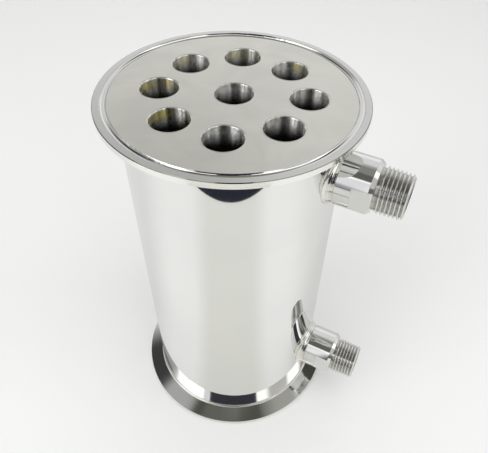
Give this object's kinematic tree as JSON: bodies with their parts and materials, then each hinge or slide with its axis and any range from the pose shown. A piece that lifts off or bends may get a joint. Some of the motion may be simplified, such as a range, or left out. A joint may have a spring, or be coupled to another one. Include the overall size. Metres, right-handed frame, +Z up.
{
  "type": "shell-and-tube condenser",
  "caption": "Upright stainless shell-and-tube condenser with a clamp rim at each end, straight tubes through both end plates and two threaded water ports on one side.",
  "frame": {"origin": "centre of the lower clamp face, on the long axis", "axes": "+Z up the long axis from the lower to the upper clamp face, +X towards both water ports"},
  "size_m": [0.1429, 0.119, 0.202],
  "materials": {
    "plate_steel": "stainless steel end plates, satin turned face, polished rim",
    "shell_steel": "stainless steel, mirror polished",
    "tube_steel": "stainless steel as drawn, with weld heat tint at the ends",
    "fitting_steel": "stainless steel, polished collar, cut thread",
    "weld_steel": "stainless steel weld bead, fine ripples, brushed clean"
  },
  "bodies": {
    "root": {"lower_tube_sheet": "plate_steel", "upper_tube_sheet": "plate_steel", "shell": "shell_steel", "centre_tube": "tube_steel", "ring_tube_1": "tube_steel", "ring_tube_2": "tube_steel", "ring_tube_3": "tube_steel", "ring_tube_4": "tube_steel", "ring_tube_5": "tube_steel", "ring_tube_6": "tube_steel", "ring_tube_7": "tube_steel", "ring_tube_8": "tube_steel", "upper_port_nipple": "fitting_steel", "lower_port_nipple": "fitting_steel", "lower_seam_weld": "weld_steel", "upper_seam_weld": "weld_steel", "lower_tube_welds": "weld_steel", "upper_tube_welds": "weld_steel", "upper_port_weld": "weld_steel", "lower_port_weld": "weld_steel"}
  },
  "joints": []
}
